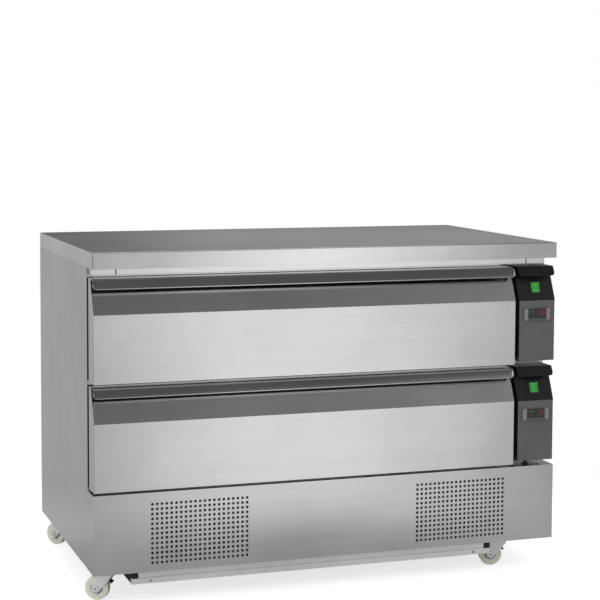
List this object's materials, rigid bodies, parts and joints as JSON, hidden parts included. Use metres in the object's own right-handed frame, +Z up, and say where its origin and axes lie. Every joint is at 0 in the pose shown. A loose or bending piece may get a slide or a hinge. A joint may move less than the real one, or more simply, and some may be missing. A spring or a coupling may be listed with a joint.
{
  "type": "refrigerated drawer unit",
  "caption": "Low stainless kitchen refrigerator with full-width pull-out drawers under a flat worktop, a control strip at the right, a perforated base panel and swivel castors.",
  "frame": {"origin": "on the floor, under the middle of the overall box", "axes": "+X to the right along the front, -Y out of the front, +Z up"},
  "size_m": [1.227, 0.7018, 0.86],
  "materials": {
    "stainless_top": "satin",
    "stainless_side": "satin",
    "stainless_front": "satin",
    "stainless_panel": "satin",
    "stainless_inner": "satin",
    "board": "matte",
    "foam": "matte",
    "galvanised": "satin",
    "black_rubber": "matte",
    "seal_rubber": "matte",
    "pot_black": "gloss",
    "fin_aluminium": "satin",
    "copper": "satin",
    "housing_black": "satin",
    "plate_grey": "satin",
    "bezel_black": "satin",
    "window_dark": "gloss",
    "lit_green": "gloss",
    "fan_black": "matte",
    "screw_steel": "satin",
    "zinc": "satin",
    "hub_grey": "matte",
    "tread_cream": "satin",
    "pedal_black": "satin"
  },
  "bodies": {
    "cabinet": {"worktop": "stainless_top", "worktop_board": "board", "left_side_panel": "stainless_side", "right_side_panel": "stainless_side", "back_panel": "stainless_side", "cabinet_insulation": "foam", "drawer_liners": "stainless_inner", "front_frame": "stainless_front", "lower_front_panel": "stainless_panel", "chassis": "galvanised", "base_tray": "galvanised", "tray_pads": "black_rubber", "compressors": "pot_black", "condensers": "fin_aluminium", "fan_shrouds": "galvanised", "evaporators": "fin_aluminium", "refrigerant_lines": "copper", "cabinet_runners": "galvanised", "control_housings": "housing_black", "control_plates": "plate_grey", "thermostats": "bezel_black", "thermostat_windows": "window_dark", "switch_frames": "bezel_black", "cable_fittings": "housing_black", "castor_plates": "zinc", "small_screws": "screw_steel"},
    "drawer_upper": {"upper_front_skin": "stainless_front", "upper_front_core": "foam", "upper_hand_rail": "stainless_front", "upper_inner_panel": "stainless_inner", "upper_drawer_seal": "seal_rubber", "upper_drawer_box": "stainless_inner", "upper_inner_runners": "galvanised"},
    "middle_upper": {"upper_middle_runners": "galvanised"},
    "rocker_upper": {"rocker_upper": "lit_green"},
    "drawer_lower": {"lower_front_skin": "stainless_front", "lower_front_core": "foam", "lower_hand_rail": "stainless_front", "lower_inner_panel": "stainless_inner", "lower_drawer_seal": "seal_rubber", "lower_drawer_box": "stainless_inner", "lower_inner_runners": "galvanised"},
    "middle_lower": {"lower_middle_runners": "galvanised"},
    "rocker_lower": {"rocker_lower": "lit_green"},
    "fan_left": {"condenser_fan_left": "fan_black"},
    "fan_right": {"condenser_fan_right": "fan_black"},
    "fork_front_left": {"castor_fork_front_left": "zinc"},
    "wheel_front_left": {"castor_hub_front_left": "hub_grey", "castor_tread_front_left": "tread_cream"},
    "pedal_front_left": {"brake_pedal_front_left": "pedal_black"},
    "fork_front_right": {"castor_fork_front_right": "zinc"},
    "wheel_front_right": {"castor_hub_front_right": "hub_grey", "castor_tread_front_right": "tread_cream"},
    "pedal_front_right": {"brake_pedal_front_right": "pedal_black"},
    "fork_back_left": {"castor_fork_back_left": "zinc"},
    "wheel_back_left": {"castor_hub_back_left": "hub_grey", "castor_tread_back_left": "tread_cream"},
    "fork_back_right": {"castor_fork_back_right": "zinc"},
    "wheel_back_right": {"castor_hub_back_right": "hub_grey", "castor_tread_back_right": "tread_cream"}
  },
  "joints": [
    {"name": "lower_drawer_slide", "type": "slide", "parent": "cabinet", "child": "drawer_lower", "axis": [0, -1, 0], "range_m": [0, 0.5]},
    {"name": "lower_runner_slide", "type": "slide", "parent": "cabinet", "child": "middle_lower", "axis": [0, -1, 0], "range_m": [0, 0.25]},
    {"name": "lower_rocker_tilt", "type": "hinge", "parent": "cabinet", "child": "rocker_lower", "pos_m": [0.56053, -0.32967, 0.47768], "axis": [1, 0, 0], "range_deg": [-16, 0]},
    {"name": "upper_drawer_slide", "type": "slide", "parent": "cabinet", "child": "drawer_upper", "axis": [0, -1, 0], "range_m": [0, 0.5]},
    {"name": "upper_runner_slide", "type": "slide", "parent": "cabinet", "child": "middle_upper", "axis": [0, -1, 0], "range_m": [0, 0.25]},
    {"name": "upper_rocker_tilt", "type": "hinge", "parent": "cabinet", "child": "rocker_upper", "pos_m": [0.56053, -0.32967, 0.74018], "axis": [1, 0, 0], "range_deg": [-16, 0]},
    {"name": "fan_left_spin", "type": "hinge", "parent": "cabinet", "child": "fan_left", "pos_m": [-0.34647, -0.2249, 0.178], "axis": [0, 1, 0], "continuous": true},
    {"name": "fan_right_spin", "type": "hinge", "parent": "cabinet", "child": "fan_right", "pos_m": [0.34853, -0.2249, 0.178], "axis": [0, 1, 0], "continuous": true},
    {"name": "front_left_castor_swivel", "type": "hinge", "parent": "cabinet", "child": "fork_front_left", "pos_m": [-0.56527, -0.2759, 0.08], "axis": [0, 0, 1], "continuous": true},
    {"name": "front_left_wheel_spin", "type": "hinge", "parent": "fork_front_left", "child": "wheel_front_left", "pos_m": [-0.58393, -0.26424, 0.03], "axis": [-0.5299, -0.848, 0], "continuous": true},
    {"name": "front_left_brake_pedal", "type": "hinge", "parent": "fork_front_left", "child": "pedal_front_left", "pos_m": [-0.55848, -0.28014, 0.05], "axis": [-0.5299, -0.848, 0], "range_deg": [-35, 0]},
    {"name": "front_right_castor_swivel", "type": "hinge", "parent": "cabinet", "child": "fork_front_right", "pos_m": [0.49253, -0.2759, 0.08], "axis": [0, 0, 1], "continuous": true},
    {"name": "front_right_wheel_spin", "type": "hinge", "parent": "fork_front_right", "child": "wheel_front_right", "pos_m": [0.47128, -0.27021, 0.03], "axis": [-0.2588, -0.9659, 0], "continuous": true},
    {"name": "front_right_brake_pedal", "type": "hinge", "parent": "fork_front_right", "child": "pedal_front_right", "pos_m": [0.50026, -0.27797, 0.05], "axis": [-0.2588, -0.9659, 0], "range_deg": [0, 35]},
    {"name": "back_left_castor_swivel", "type": "hinge", "parent": "cabinet", "child": "fork_back_left", "pos_m": [-0.56527, 0.2741, 0.08], "axis": [0, 0, 1], "continuous": true},
    {"name": "back_left_wheel_spin", "type": "hinge", "parent": "fork_back_left", "child": "wheel_back_left", "pos_m": [-0.57941, 0.29095, 0.03], "axis": [-0.766, -0.6428, 0], "continuous": true},
    {"name": "back_right_castor_swivel", "type": "hinge", "parent": "cabinet", "child": "fork_back_right", "pos_m": [0.49253, 0.2741, 0.08], "axis": [0, 0, 1], "continuous": true},
    {"name": "back_right_wheel_spin", "type": "hinge", "parent": "fork_back_right", "child": "wheel_back_right", "pos_m": [0.49823, 0.29535, 0.03], "axis": [-0.9659, 0.2588, 0], "continuous": true}
  ],
  "couplings": [
    {"joint": "lower_runner_slide", "follows": "lower_drawer_slide", "ratio": 0.5},
    {"joint": "upper_runner_slide", "follows": "upper_drawer_slide", "ratio": 0.5}
  ]
}
